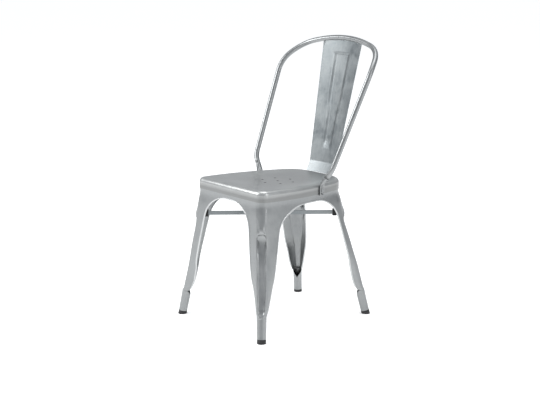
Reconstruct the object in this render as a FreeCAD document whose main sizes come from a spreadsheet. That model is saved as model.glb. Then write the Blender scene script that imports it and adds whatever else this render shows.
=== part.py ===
import FreeCAD, Part
import math
import os
import Sketcher

from FreeCAD import Placement, Rotation, Vector

# Stackable side chair of pressed sheet steel.
# Millimetres; +Z is up, -Y is the front, +X is the sitter's left.
# The origin lies on the floor under the middle of the whole chair.

# Driving sizes: name, value and what it means.
SIZES = [
    ("sheet_thickness", 1.5, "wall of every pressed sheet piece"),
    ("weld_clearance", 0.2, "gap left between sheets that nest in each other"),
    ("seat_front_y", -212.4, "front face of the seat skirt"),
    ("seat_rear_y", 157.9, "rear face of the seat skirt on the centre line"),
    ("seat_half_width", 161.5, "half of the seat's greatest width"),
    ("seat_widest_y", -134.1, "where the seat is widest"),
    ("seat_side_radius", 800.0, "bow of the seat's sides in plan"),
    ("seat_rear_radius", 600.0, "bow of the seat's rear edge in plan"),
    ("seat_front_corner", 28.0, "front corner radius in plan"),
    ("seat_rear_corner", 74.0, "rear corner radius in plan"),
    ("seat_crest_z", 435.6, "height of the seat's rim at the front"),
    ("seat_slope", 1.06, "fall of the seat towards the back, degrees"),
    ("skirt_height", 32.7, "seat skirt from its lower edge to the rim"),
    ("rim_radius", 13.0, "rolled shoulder between the seat's top and its skirt"),
    ("dish_depth", 9.0, "hollow of the seat's middle below its rim"),
    ("dish_border", 15.0, "rim left between the skirt and the hollow"),
    ("drain_diameter", 6.0, "drain holes in the seat"),
    ("drain_ring_radius", 49.5, "ring of drain holes round the middle one"),
    ("drain_centre_y", -21.3, "middle drain hole"),
    ("drain_count", 6, "drain holes on the ring"),
    ("vent_diameter", 5.0, "small hole in each shoulder behind the hoop"),
    ("vent_y", 66.0, "small hole's place along the seat"),
    ("foot_front_x", 197.0, "front foot from the centre line, on the floor"),
    ("foot_front_y", -243.1, "front feet, on the floor"),
    ("foot_rear_x", 163.3, "rear foot from the centre line, on the floor"),
    ("foot_rear_y", 200.4, "rear feet, on the floor"),
    ("tube_foot_radius", 13.2, "leg's round end at the floor"),
    ("tube_top_radius", 14.3, "leg's round end where it opens into the channel"),
    ("tube_top_z", 76.0, "height where the round end opens into the channel"),
    ("mouth_tip_z", 54.0, "lowest point of the opening in the leg's inner side"),
    ("curl_z", 150.0, "height below which the flanges curl into the round end"),
    ("flank_length", 31.0, "leg's flange beyond its rounded corner at the curl height"),
    ("flank_turn", 40.0, "inward turn of each flange at the curl height, degrees"),
    ("curl_angle", 75.0, "turn of each flange at the top of the round end, degrees"),
    ("flange_z", 393.0, "height where the legs turn upright under the seat"),
    ("flange_height", 15.0, "upright flange of the legs inside the seat's skirt"),
    ("leg_corner_radius", 20.0, "leg's outer corner at the curl height"),
    ("gutter_depth", 10.0, "pressed gutter in the leg's outer corner, at its deepest"),
    ("gutter_top_z", 318.0, "where the gutter starts"),
    ("gutter_run_in", 16.0, "length over which the gutter reaches its depth"),
    ("gutter_run_out", 14.0, "length over which the gutter closes at the round end"),
    ("front_arch_z", 391.0, "crown of the arch between the front legs"),
    ("front_arch_crown", 48.0, "half of the flat part of the front arch"),
    ("front_arch_shoulder_x", 104.0, "shoulder of the front arch"),
    ("front_arch_shoulder_z", 351.0, "height of the front arch's shoulder"),
    ("rear_arch_crown", 38.0, "half of the flat part of the rear arch"),
    ("rear_arch_shoulder_x", 84.0, "shoulder of the arch between the rear legs"),
    ("rear_arch_crown_radius", 88.0, "bend between the rear arch's crown and its haunch"),
    ("rear_arch_shoulder_radius", 66.0, "bend between the rear arch's haunch and the leg"),
    ("side_arch_z", 381.0, "crown of the side arches"),
    ("side_joint_y", -14.1, "where front and rear legs meet under the seat"),
    ("side_arch_front_crown_y", -70.1, "front end of the side arch's flat part"),
    ("side_arch_front_shoulder_y", -148.1, "front shoulder of the side arch"),
    ("side_arch_rear_crown_y", 41.9, "rear end of the side arch's flat part"),
    ("side_arch_rear_shoulder_y", 97.9, "rear shoulder of the side arch"),
    ("side_arch_shoulder_z", 342.0, "height of the side arch's shoulders"),
    ("arch_crown_radius", 110.0, "bend between an arch's crown and its haunch"),
    ("arch_shoulder_radius", 74.0, "bend between an arch's haunch and the leg"),
    ("cap_height", 11.5, "visible height of the foot caps"),
    ("cap_stem_length", 18.0, "plug of the foot cap inside the leg"),
    ("cap_clearance", 0.35, "gap round the foot cap's plug"),
    ("cap_edge_radius", 2.5, "rounding of the foot cap's edge"),
    ("hoop_radius", 8.0, "back hoop tube"),
    ("hoop_wall", 1.5, "back hoop tube wall"),
    ("hoop_upright_x", 193.5, "hoop upright from the centre line at the reference height"),
    ("hoop_upright_y", 94.5, "hoop upright's place at the reference height"),
    ("hoop_reference_z", 600.0, "height at which the upright's place is given"),
    ("hoop_spread", 0.1, "sideways lean of the uprights"),
    ("hoop_recline", 0.437, "backward lean of the uprights"),
    ("hoop_bend_z", 766.0, "height of the upright's upper bend"),
    ("hoop_bend_radius", 107.6, "upper bend of the uprights"),
    ("hoop_shoulder_x", 170.6, "corner of the hoop from the centre line"),
    ("hoop_shoulder_y", 227.9, "corner of the hoop"),
    ("hoop_shoulder_z", 818.4, "height of the hoop's corner"),
    ("hoop_shoulder_radius", 109.5, "bend of the hoop's corner"),
    ("hoop_crown_y", 258.8, "where the top rail's ends would meet behind"),
    ("hoop_crown_z", 855.3, "height where the top rail's ends would meet"),
    ("hoop_crown_radius", 412.0, "bend of the top rail"),
    ("hoop_knee_z", 470.1, "height of the bend above the seat"),
    ("hoop_knee_radius", 60.0, "bend above the seat"),
    ("hoop_foot_y", 27.6, "flattened hoop end on the seat's side"),
    ("hoop_flat_z", 431.0, "height where the hoop's end is flat"),
    ("hoop_flat_width", 20.0, "flattened end's width"),
    ("hoop_flat_thickness", 5.0, "flattened end's thickness"),
    ("hoop_end_z", 395.5, "lower end of the flattened hoop"),
    ("hoop_pocket_depth", 2.4, "hollow pressed into the flattened end"),
    ("rivet_radius", 3.6, "rivet heads at the hoop's ends"),
    ("rivet_pitch", 16.0, "distance between a hoop end's rivets"),
    ("splat_top_width", 178.0, "splat under the top rail"),
    ("splat_crease_width", 125.0, "splat at its lower crease"),
    ("splat_foot_width", 119.0, "splat's lower edge"),
    ("splat_recline", 0.217, "backward lean of the splat above its crease"),
    ("splat_crease_y", 166.4, "splat's middle at its crease"),
    ("splat_crease_z", 459.0, "height of the splat's crease"),
    ("splat_foot_y", 149.4, "splat's lower edge"),
    ("splat_bow_radius", 500.0, "bow of the splat in plan"),
    ("recess_depth", 3.0, "pressed panel in the splat"),
    ("recess_top_z", 795.0, "top of the pressed panel"),
    ("recess_foot_z", 512.0, "lower end of the pressed panel"),
    ("recess_top_width", 66.0, "pressed panel at its top"),
    ("recess_foot_width", 28.0, "pressed panel at its lower end"),
    ("brace_z", 322.0, "middle height of the crossed braces"),
    ("brace_height", 12.0, "brace bar height"),
    ("brace_thickness", 5.0, "brace bar thickness"),
    ("bumper_length", 13.0, "stacking bumper along the brace"),
    ("bumper_width", 14.0, "stacking bumper across the brace"),
    ("bumper_height", 20.0, "stacking bumper height"),
    ("bumper_drop", 4.0, "stacking bumper below the brace"),
    ("bumper_inset", 30.0, "stacking bumper's middle from the end of the brace"),
    ("bumper_clearance", 0.3, "gap between a bumper and its bar"),
    ("rivet_shank_radius", 2.0, "rivet shank"),
    ("rivet_head_height", 1.6, "rivet head"),
    ("rivet_clearance", 0.15, "gap round a rivet's shank"),
]

doc = FreeCAD.newDocument("side_chair")
sheet = doc.addObject("Spreadsheet::Sheet", "Sizes")
for row, (alias, value, note) in enumerate(SIZES, start=1):
    sheet.set(f"A{row}", note)
    sheet.set(f"B{row}", str(value))
    sheet.setAlias(f"B{row}", alias)
doc.recompute()


def size(alias):
    return float(sheet.get(alias))


THICK = size("sheet_thickness")
NEST = THICK + size("weld_clearance")
UP = Vector(0, 0, 1)


def add_feature(label, shape):
    """Put a finished shape into the document as a sub-part of its own."""
    feature = doc.addObject("Part::Feature", label)
    feature.Label = label
    feature.Shape = shape
    return feature


def smooth(value):
    """0 below 0, 1 above 1 and an even rise between."""
    value = min(max(value, 0.0), 1.0)
    return value * value * (3.0 - 2.0 * value)


def mix(start, end, share):
    return start + (end - start) * share


def turned(vector, degrees):
    return Rotation(UP, degrees).multVec(vector)


def mirrored(shape):
    return shape.mirror(Vector(), Vector(1, 0, 0))


def arc_edge(centre, radius, start, end):
    """Arc round centre, in its horizontal plane, between two directions in radians."""
    points = []
    for angle in (start, (start + end) / 2.0, end):
        points.append(centre + Vector(math.cos(angle), math.sin(angle), 0) * radius)
    return Part.Arc(*points).toShape()


def direction_angle(centre, point):
    return math.atan2(point.y - centre.y, point.x - centre.x)


def rounded_path(points, radii):
    """Edges of straight runs through the points, joined by tangent arcs."""
    edges = []
    start = points[0]
    for before, corner, after, radius in zip(points, points[1:], points[2:], radii):
        to_before = (before - corner).normalize()
        to_after = (after - corner).normalize()
        half_angle = to_before.getAngle(to_after) / 2.0
        reach = radius / math.tan(half_angle)
        arc_start = corner + to_before * reach
        arc_end = corner + to_after * reach
        bisector = (to_before + to_after).normalize()
        middle = corner + bisector * (radius / math.sin(half_angle) - radius)
        edges.append(Part.LineSegment(start, arc_start).toShape())
        edges.append(Part.Arc(arc_start, middle, arc_end).toShape())
        start = arc_end
    edges.append(Part.LineSegment(start, points[-1]).toShape())
    return edges


DISH_RINGS = 8
DISH_RING_STEP = 0.1
DISH_FLAT = 0.3

# Seat outline in plan: arcs about fixed centres, so that an inset only shortens their radii.
SIDE_CENTRE = Vector(size("seat_half_width") - size("seat_side_radius"), size("seat_widest_y"), 0)
REAR_CENTRE = Vector(0, size("seat_rear_y") - size("seat_rear_radius"), 0)


def front_corner_centre():
    y = size("seat_front_y") + size("seat_front_corner")
    reach = size("seat_side_radius") - size("seat_front_corner")
    return Vector(SIDE_CENTRE.x + math.sqrt(reach ** 2 - (y - SIDE_CENTRE.y) ** 2), y, 0)


def rear_corner_centre():
    """Centre that lies one corner radius inside both the side arc and the rear arc."""
    from_side = size("seat_side_radius") - size("seat_rear_corner")
    from_rear = size("seat_rear_radius") - size("seat_rear_corner")
    between = REAR_CENTRE - SIDE_CENTRE
    gap = between.Length
    along = (from_side ** 2 - from_rear ** 2 + gap ** 2) / (2.0 * gap)
    across = math.sqrt(from_side ** 2 - along ** 2)
    unit = between.normalize()
    return SIDE_CENTRE + unit * along + turned(unit, 90) * across


FRONT_CORNER = front_corner_centre()
REAR_CORNER = rear_corner_centre()
SIDE_FRONT_ANGLE = direction_angle(SIDE_CENTRE, FRONT_CORNER)
SIDE_REAR_ANGLE = direction_angle(SIDE_CENTRE, REAR_CORNER)
REAR_END_ANGLE = direction_angle(REAR_CENTRE, REAR_CORNER)


def seat_outline(inset, z):
    """Closed wire of the seat's plan, moved inwards by inset, at height z."""
    lift = Vector(0, 0, z)
    right = [
        arc_edge(FRONT_CORNER + lift, size("seat_front_corner") - inset, -math.pi / 2, SIDE_FRONT_ANGLE),
        arc_edge(SIDE_CENTRE + lift, size("seat_side_radius") - inset, SIDE_FRONT_ANGLE, SIDE_REAR_ANGLE),
        arc_edge(REAR_CORNER + lift, size("seat_rear_corner") - inset, SIDE_REAR_ANGLE, REAR_END_ANGLE),
    ]
    rear = arc_edge(
        REAR_CENTRE + lift, size("seat_rear_radius") - inset, REAR_END_ANGLE, math.pi - REAR_END_ANGLE
    )
    left = [edge.mirror(Vector(), Vector(1, 0, 0)) for edge in right]
    front_y = size("seat_front_y") + inset
    front = Part.LineSegment(
        Vector(-FRONT_CORNER.x, front_y, z), Vector(FRONT_CORNER.x, front_y, z)
    ).toShape()
    return Part.Wire(Part.__sortEdges__([front] + right + [rear] + left))


def seat_placement():
    """Lower edge of the skirt, falling towards the back about the front of the rim."""
    pivot = Vector(0, size("seat_front_y"), size("skirt_height"))
    rotation = Rotation(Vector(1, 0, 0), -size("seat_slope"))
    position = Vector(0, size("seat_front_y"), size("seat_crest_z")) - rotation.multVec(pivot)
    return Placement(position, rotation)


SEAT_PLACE = seat_placement()


def seat_wall(point, z):
    """Point of the skirt's upright line through a plan point, at the chair's height z."""
    base = SEAT_PLACE.multVec(Vector(point.x, point.y, 0))
    rise = SEAT_PLACE.Rotation.multVec(UP)
    return base + rise * ((z - base.z) / rise.z)


def seat_block(inset, height, fillet, border, dish):
    """Solid under one face of the seat sheet: skirt, rolled shoulder and hollow."""
    block = Part.Face(seat_outline(inset, 0)).extrude(Vector(0, 0, height))
    rim = [edge for edge in block.Edges if edge.BoundBox.ZMin > height - 0.01]
    block = block.makeFillet(fillet, rim)
    middle = Vector(0, (size("seat_front_y") + size("seat_rear_y")) / 2.0, 0)
    sections = []
    for index in range(DISH_RINGS):
        scale = 1.0 - DISH_RING_STEP * index
        floor = (scale - DISH_FLAT) / (1.0 - DISH_FLAT)
        ring = seat_outline(border, 0)
        ring.translate(middle * -1.0)
        ring.scale(scale)
        ring.translate(middle + Vector(0, 0, height - dish * (1.0 - floor ** 2)))
        sections.append(ring)
    hollow = Part.makeLoft(sections, True, False)
    return block.cut(hollow)


def seat_pan():
    outer = seat_block(0.0, size("skirt_height"), size("rim_radius"), size("dish_border"), size("dish_depth"))
    inner = seat_block(
        THICK,
        size("skirt_height") - THICK,
        size("rim_radius") - THICK,
        size("dish_border") - THICK / 2.0,
        size("dish_depth"),
    )
    pan = outer.cut(inner)
    drill_height = size("skirt_height") * 2.0
    drains = [Vector(0, size("drain_centre_y"), 0)]
    for index in range(int(size("drain_count"))):
        angle = math.radians(30.0 + 360.0 * index / size("drain_count"))
        ring = Vector(math.cos(angle), math.sin(angle), 0) * size("drain_ring_radius")
        drains.append(drains[0] + ring)
    for centre in drains:
        pan = pan.cut(Part.makeCylinder(size("drain_diameter") / 2.0, drill_height, centre))
    vent = vent_drill()
    return pan.cut([vent, mirrored(vent)])


def vent_drill():
    """Drill through the middle of the left shoulder's roll, square to it."""
    reach = size("rim_radius")
    side = math.sqrt(size("seat_side_radius") ** 2 - (size("vent_y") - SIDE_CENTRE.y) ** 2)
    roll_centre = Vector(SIDE_CENTRE.x + side - reach, size("vent_y"), size("skirt_height") - reach)
    outward = Vector(1, 0, 1).normalize()
    return Part.makeCylinder(size("vent_diameter") / 2.0, 2.0 * reach, roll_centre, outward)


# Legs: one pressing each, drawn here for the right-hand side and mirrored for the left.
CORNER_STEPS = 16
WING_STEPS = 5
JOINT_SPILL = 25.0
LAP_STEP = 0.05


class LegForm:
    """The sheet of one leg as a family of horizontal sections."""

    def __init__(self, front):
        self.front = front
        if front:
            self.centre = FRONT_CORNER
            self.top_radius = size("seat_front_corner") - NEST
            self.heading = (Vector(-1, 0, 0), turned(self.outward(SIDE_CENTRE), 90))
            foot = Vector(size("foot_front_x"), size("foot_front_y"), 0)
        else:
            self.centre = REAR_CORNER
            self.top_radius = size("seat_rear_corner") - NEST
            self.heading = (turned(self.outward(REAR_CENTRE), 90), turned(self.outward(SIDE_CENTRE), -90))
            foot = Vector(size("foot_rear_x"), size("foot_rear_y"), 0)
        self.inward = (self.heading[0] + self.heading[1]).normalize()
        self.across = (self.heading[0] - self.heading[1]).normalize()
        self.half_turn = (math.pi - self.heading[0].getAngle(self.heading[1])) / 2.0
        self.corner_top = self.centre - self.inward * self.corner_offset(self.top_radius)
        self.corner_foot = foot - self.inward * self.corner_offset(size("tube_foot_radius"))
        self.foot = foot

    def outward(self, arc_centre):
        return (self.centre - arc_centre).normalize()

    def corner_offset(self, radius):
        """Distance from the sharp corner to the centre of an arc that rounds it."""
        return radius / math.cos(self.half_turn)

    def corner(self, z):
        share = (size("flange_z") - z) / size("flange_z")
        return mix(self.corner_top, self.corner_foot, share)

    def radius(self, z):
        if z >= size("curl_z"):
            share = (z - size("curl_z")) / (size("flange_z") - size("curl_z"))
            return mix(size("leg_corner_radius"), self.top_radius, share)
        return mix(size("leg_corner_radius"), size("tube_top_radius"), self.curl_share(z))

    def tube_radius(self, z):
        return mix(size("tube_foot_radius"), size("tube_top_radius"), z / size("tube_top_z"))

    def tube_centre(self, z):
        centre = self.corner(z) + self.inward * self.corner_offset(self.tube_radius(z))
        return Vector(centre.x, centre.y, z)

    def axis(self):
        """Direction of the round end, upwards."""
        return (self.tube_centre(size("tube_top_z")) - self.foot).normalize()

    def curl_share(self, z):
        """0 at the curl height, 1 where the round end starts."""
        return (size("curl_z") - z) / (size("curl_z") - size("tube_top_z"))

    def wing_length(self, z):
        """Flange beyond the rounded corner, at or below the curl height."""
        curled = size("tube_top_radius") * math.radians(size("curl_angle"))
        return mix(size("flank_length"), curled, self.curl_share(z) ** 6)

    def low_point(self, z, side, step):
        """Point on the outer face at or below the curl height; step runs from -1 to 1 round the
        corner and on to 2 at the flange's free edge."""
        radius = self.radius(z)
        centre = self.corner(z) + self.inward * self.corner_offset(radius)
        sideways = self.across * side
        angle = self.half_turn * min(step, 1.0)
        point = centre - self.inward * (radius * math.cos(angle)) + sideways * (radius * math.sin(angle))
        if step <= 1.0:
            return point
        turn = math.radians(mix(size("flank_turn"), size("curl_angle"), self.curl_share(z)))
        bend = self.wing_length(z) / turn
        turned_here = turn * (step - 1.0)
        forward = bend * math.sin(turned_here)
        sunk = bend * (1.0 - math.cos(turned_here))
        along = self.inward * math.sin(angle) + sideways * math.cos(angle)
        normal = self.inward * math.cos(angle) - sideways * math.sin(angle)
        return point + along * forward + normal * sunk

    def top_point(self, side, step):
        """Point on the outer face where the leg turns upright inside the seat's skirt."""
        if step <= 1.0:
            angle = self.half_turn * step
            out = self.inward * -math.cos(angle) + self.across * (side * math.sin(angle))
            return self.centre + out * self.top_radius
        share = step - 1.0
        if side < 0:
            radius = size("seat_side_radius") - NEST
            start = SIDE_FRONT_ANGLE if self.front else SIDE_REAR_ANGLE
            spill = JOINT_SPILL if self.front else -JOINT_SPILL
            end = math.asin((size("side_joint_y") + spill - SIDE_CENTRE.y) / radius)
            angle = mix(start, end, share)
            return SIDE_CENTRE + Vector(math.cos(angle), math.sin(angle), 0) * radius
        if self.front:
            return Vector(mix(self.centre.x, -JOINT_SPILL, share), size("seat_front_y") + NEST, 0)
        radius = size("seat_rear_radius") - NEST
        angle = mix(REAR_END_ANGLE, math.pi / 2 + JOINT_SPILL / radius, share)
        return REAR_CENTRE + Vector(math.cos(angle), math.sin(angle), 0) * radius

    def gutter(self, z, step):
        """Depth of the pressed gutter, which narrows to a rounded tip at both ends."""
        run_in = smooth((size("gutter_top_z") - z) / size("gutter_run_in"))
        run_out = smooth((z - size("tube_top_z")) / size("gutter_run_out"))
        ends = run_in * run_out
        half = 0.4 + 0.6 * ends
        if abs(step) >= half:
            return 0.0
        share = self.radius(z) / self.radius(size("gutter_top_z"))
        return size("gutter_depth") * min(share, 1.0) * ends * (1.0 - (abs(step) / half) ** 4) ** 2

    def outer_point(self, z, side, step):
        if z <= size("curl_z"):
            point = self.low_point(z, side, step)
        else:
            share = min((z - size("curl_z")) / (size("flange_z") - size("curl_z")), 1.0)
            top = seat_wall(self.top_point(side, step), max(z, size("flange_z")))
            point = mix(self.low_point(size("curl_z"), side, step), top, share)
        point = point + self.inward * self.gutter(z, step)
        return Vector(point.x, point.y, z)

    def outer_points(self, z):
        """Outer face from the first flange's free edge round the corner to the second's."""
        points = []
        for index in range(WING_STEPS):
            points.append(self.outer_point(z, 1, 2.0 - index / WING_STEPS))
        for index in range(CORNER_STEPS + 1):
            step = 1.0 - 2.0 * index / CORNER_STEPS
            points.append(self.outer_point(z, 1 if step >= 0 else -1, abs(step)))
        for index in range(WING_STEPS):
            points.append(self.outer_point(z, -1, 1.0 + (index + 1) / WING_STEPS))
        return points

    def inner_points(self, outer):
        """The outer points moved through the sheet, square to the section."""
        points = []
        last = len(outer) - 1
        quarter = 90 if self.front else -90
        for index, point in enumerate(outer):
            along = outer[min(index + 1, last)] - outer[max(index - 1, 0)]
            points.append(point + turned(along.normalize(), quarter) * THICK)
        return points

    def section(self, z):
        outer = self.outer_points(z)
        inner = self.inner_points(outer)
        marks = [index / (len(outer) - 1) for index in range(len(outer))]
        edges = []
        for points in (outer, inner):
            curve = Part.BSplineCurve()
            curve.interpolate(Points=points, Parameters=marks)
            edges.append(curve.toShape())
        edges.append(Part.LineSegment(outer[-1], inner[-1]).toShape())
        edges.append(Part.LineSegment(inner[0], outer[0]).toShape())
        return Part.Wire([edges[0], edges[2], edges[1], edges[3]])

    def edge_middle(self, z, side):
        """Middle of the sheet at the flange's natural free edge."""
        outer = self.outer_points(z)
        inner = self.inner_points(outer)
        index = 0 if side > 0 else -1
        return (outer[index] + inner[index]) * 0.5


def leg_levels():
    """Section heights: close together where the form changes quickly."""
    tube = size("tube_top_z")
    curl = size("curl_z")
    gutter = size("gutter_top_z")
    gutter_full = gutter - size("gutter_run_in")
    levels = [mix(tube, tube + size("gutter_run_out"), share) for share in (0.0, 0.33, 0.66, 1.0)]
    levels += [mix(tube + size("gutter_run_out"), curl, share) for share in (0.2, 0.45, 0.7, 1.0)]
    levels += [mix(curl, gutter_full, share) for share in (0.33, 0.67, 1.0)]
    levels += [mix(gutter_full, gutter, share) for share in (0.33, 0.67, 1.0)]
    levels += [mix(gutter, size("flange_z"), share) for share in (0.3, 0.65)]
    levels += [size("flange_z") + size("flange_height") * share for share in (0.0, 0.5, 1.0)]
    return levels


def arch_corners(form, side):
    """Places and heights of an arch half: its middle, crown, shoulder and foot."""
    edge = form.edge_middle(size("curl_z"), side)
    if side > 0:
        crest = size("front_arch_z")
        start = -JOINT_SPILL / 2.0
        shoulder = size("front_arch_shoulder_x") if form.front else size("rear_arch_shoulder_x")
        crown = size("front_arch_crown") if form.front else size("rear_arch_crown")
        drop = size("front_arch_shoulder_z")
        end = edge.x
    else:
        crest = size("side_arch_z")
        spill = JOINT_SPILL if form.front else -JOINT_SPILL
        start = size("side_joint_y") + spill / 2.0
        crown = size("side_arch_front_crown_y") if form.front else size("side_arch_rear_crown_y")
        shoulder = size("side_arch_front_shoulder_y") if form.front else size("side_arch_rear_shoulder_y")
        drop = size("side_arch_shoulder_z")
        end = edge.y
    return [(start, crest), (crown, crest), (shoulder, drop), (end, size("curl_z"))]


def arch_radii(form, side):
    prefix = "rear_arch" if side > 0 and not form.front else "arch"
    return [size(f"{prefix}_crown_radius"), size(f"{prefix}_shoulder_radius")]


def arch_half(form, side):
    """Edges of one half of an arch, from its crown down to the leg's natural edge."""
    points = []
    for place, z in arch_corners(form, side):
        points.append(Vector(place, 0, z) if side > 0 else Vector(0, place, z))
    return rounded_path(points, arch_radii(form, side))


def arch_cutter(form, side, edges):
    """Solid that trims a leg's wing to the arch, long enough to pass right through it."""
    start = edges[0].Vertexes[0].Point
    end = edges[-1].Vertexes[-1].Point
    bottom = Vector(start.x, start.y, end.z)
    outline = edges + [Part.makeLine(end, bottom), Part.makeLine(bottom, start)]
    face = Part.Face(Part.Wire(Part.__sortEdges__(outline)))
    reach = size("seat_half_width")
    if side < 0:
        return face.extrude(Vector(2.0 * reach, 0, 0))
    return face.extrude(Vector(0, -2.0 * reach if form.front else 2.0 * reach, 0))


def round_end(form):
    """Tapered tube at the foot, with the pointed mouth in its inner side. Its top stands a
    hair inside the channel's sheet, so that the two join over a short lap."""
    high = size("tube_top_z")
    lap = THICK
    walls = []
    for shrink in (LAP_STEP, THICK + LAP_STEP / 2.0):
        rings = []
        for z in (-size("cap_height"), high, high + lap):
            centre = form.tube_centre(min(z, high))
            centre = centre + form.corner(z) - form.corner(min(z, high))
            ring = Part.makeCircle(form.tube_radius(min(z, high)) - shrink, Vector(centre.x, centre.y, z), UP)
            rings.append(Part.Wire(ring))
        walls.append(Part.makeLoft(rings, True, True))
    tube = walls[0].cut(walls[1])
    reach = form.tube_radius(high) * 1.02
    centre = form.tube_centre(high)
    tip = Vector(centre.x, centre.y, size("mouth_tip_z"))
    sideways = form.across * reach
    lid = Vector(0, 0, 3.0 * lap)
    corners = [tip, centre + sideways, centre + sideways + lid, centre - sideways + lid, centre - sideways, tip]
    mouth = Part.Face(Part.makePolygon(corners)).extrude(form.inward * (reach * 2.0))
    tube = tube.cut(mouth)
    base = form.foot + form.axis() * size("cap_height")
    below = Part.makeCylinder(reach * 3.0, reach * 3.0, base, form.axis() * -1.0)
    return tube.cut(below)


def joint_trim(front):
    """What lies beyond the seams where this leg meets its neighbours under the seat."""
    width = 4.0 * size("seat_half_width")
    half_gap = size("weld_clearance") / 2.0
    beyond_middle = Part.makeBox(width, 2.0 * width, width, Vector(half_gap - width, -width, 0))
    side = size("side_joint_y")
    start = side - half_gap if front else side + half_gap - width
    beyond_side = Part.makeBox(2.0 * width, width, width, Vector(-width, start, 0))
    return [beyond_middle, beyond_side]


def leg_shape(front):
    form = LegForm(front)
    skin = Part.makeLoft([form.section(z) for z in leg_levels()], True, False)
    for side in (1, -1):
        skin = skin.cut(arch_cutter(form, side, arch_half(form, side)))
    return skin.cut(joint_trim(front)).fuse(round_end(form))


# Back hoop: straight runs and tangent bends, flattened and pocketed where it meets the skirt.
HOOP_STATIONS = 5
RING_POINTS = 16


def hoop_upright(z):
    rise = z - size("hoop_reference_z")
    x = size("hoop_upright_x") + size("hoop_spread") * rise
    return Vector(x, size("hoop_upright_y") + size("hoop_recline") * rise, z)


class HoopFoot:
    """Place of the flattened hoop end against the left side of the skirt."""

    def __init__(self):
        y = size("hoop_foot_y")
        reach = math.sqrt(size("seat_side_radius") ** 2 - (y - SIDE_CENTRE.y) ** 2)
        wall = Vector(SIDE_CENTRE.x + reach, y, 0)
        self.out = (wall - SIDE_CENTRE).normalize()
        self.along = turned(self.out, 90)
        self.wall = seat_wall(wall, size("hoop_flat_z"))
        self.inner = self.wall + self.out * size("weld_clearance")
        self.middle = self.inner + self.out * (size("hoop_flat_thickness") / 2.0)
        run = (hoop_upright(size("hoop_knee_z")) - self.middle).normalize()
        self.tube_end = self.middle + run * (3.2 * size("hoop_radius"))
        self.plate_top = self.middle - UP * (2.0 * size("hoop_radius"))

    def station(self, share):
        """Point and direction on the curve from the round tube down to the flat end."""
        first = mix(self.tube_end, self.middle, share)
        second = mix(self.middle, self.plate_top, share)
        return mix(first, second, share), (second - first).normalize()


HOOP_FOOT = HoopFoot()


def oval(centre, direction, half_width, half_thickness, power):
    """Closed curve across the tube, its width along the skirt."""
    across = (HOOP_FOOT.along - direction * HOOP_FOOT.along.dot(direction)).normalize()
    depth = direction.cross(across)
    points = []
    for index in range(RING_POINTS):
        angle = 2.0 * math.pi * index / RING_POINTS
        wide = math.copysign(abs(math.cos(angle)) ** power, math.cos(angle))
        deep = math.copysign(abs(math.sin(angle)) ** power, math.sin(angle))
        points.append(centre + across * (half_width * wide) + depth * (half_thickness * deep))
    curve = Part.BSplineCurve()
    curve.interpolate(Points=points, PeriodicFlag=True)
    return Part.Wire(curve.toShape())


def hoop_path():
    foot = HOOP_FOOT.tube_end
    shoulder = Vector(size("hoop_shoulder_x"), size("hoop_shoulder_y"), size("hoop_shoulder_z"))
    half = [foot, hoop_upright(size("hoop_knee_z")), hoop_upright(size("hoop_bend_z")), shoulder]
    crown = Vector(0, size("hoop_crown_y"), size("hoop_crown_z"))
    mirrored = [Vector(-point.x, point.y, point.z) for point in reversed(half)]
    radii = [size("hoop_knee_radius"), size("hoop_bend_radius"), size("hoop_shoulder_radius")]
    radii = radii + [size("hoop_crown_radius")] + radii[::-1]
    return rounded_path(half + [crown] + mirrored, radii)


def hoop_tube(radius):
    edges = hoop_path()
    start = edges[0].Vertexes[0].Point
    direction = (edges[0].Vertexes[1].Point - start).normalize()
    ring = Part.Wire(Part.makeCircle(radius, start, direction))
    return Part.Wire(edges).makePipeShell([ring], True, False)


def hoop_flat_end():
    """Left end of the hoop: the tube pressed flat, with a pocket in its face for the rivets."""
    radius = size("hoop_radius")
    half_width = size("hoop_flat_width") / 2.0
    half_thickness = size("hoop_flat_thickness") / 2.0
    start, run = HOOP_FOOT.station(0.0)
    lap = 2.0 * THICK
    rings = [oval(start - run * lap, run, radius - LAP_STEP, radius - LAP_STEP, 1.0)]
    for index in range(HOOP_STATIONS):
        share = index / (HOOP_STATIONS - 1)
        centre, direction = HOOP_FOOT.station(share)
        pressed = smooth(share * 1.4)
        rings.append(
            oval(
                centre,
                direction,
                mix(radius - LAP_STEP, half_width, pressed),
                mix(radius - LAP_STEP, half_thickness, pressed),
                mix(1.0, 0.45, pressed),
            )
        )
    end = Part.makeLoft(rings, True, False)
    plate = Part.Face(rings[-1]).extrude(UP * (size("hoop_end_z") - HOOP_FOOT.plate_top.z))
    return end.fuse(plate)


def rivet_places():
    """Middles of the left hoop end's rivets on the outer face of the skirt."""
    low = size("hoop_end_z") + size("rivet_pitch") * 0.6
    places = []
    for index in range(2):
        places.append(seat_wall(HOOP_FOOT.wall, low + index * size("rivet_pitch")))
    return places


def hoop_pocket():
    """Hollow in the flattened end, open to the outside."""
    half = size("hoop_flat_width") / 2.0 - size("hoop_pocket_depth")
    floor = HOOP_FOOT.inner + HOOP_FOOT.out * (size("hoop_flat_thickness") - size("hoop_pocket_depth"))
    low = size("hoop_end_z") + size("hoop_pocket_depth")
    high = size("hoop_flat_z") - size("hoop_pocket_depth")
    corners = []
    for sideways, z in ((-half, low), (half, low), (half, high), (-half, high), (-half, low)):
        point = floor + HOOP_FOOT.along * sideways
        corners.append(Vector(point.x, point.y, z))
    block = Part.Face(Part.makePolygon(corners)).extrude(HOOP_FOOT.out * size("hoop_flat_width"))
    upright = [edge for edge in block.Edges if abs(edge.tangentAt(edge.FirstParameter).dot(HOOP_FOOT.out)) > 0.99]
    return block.makeFillet(half * 0.8, upright)


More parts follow.
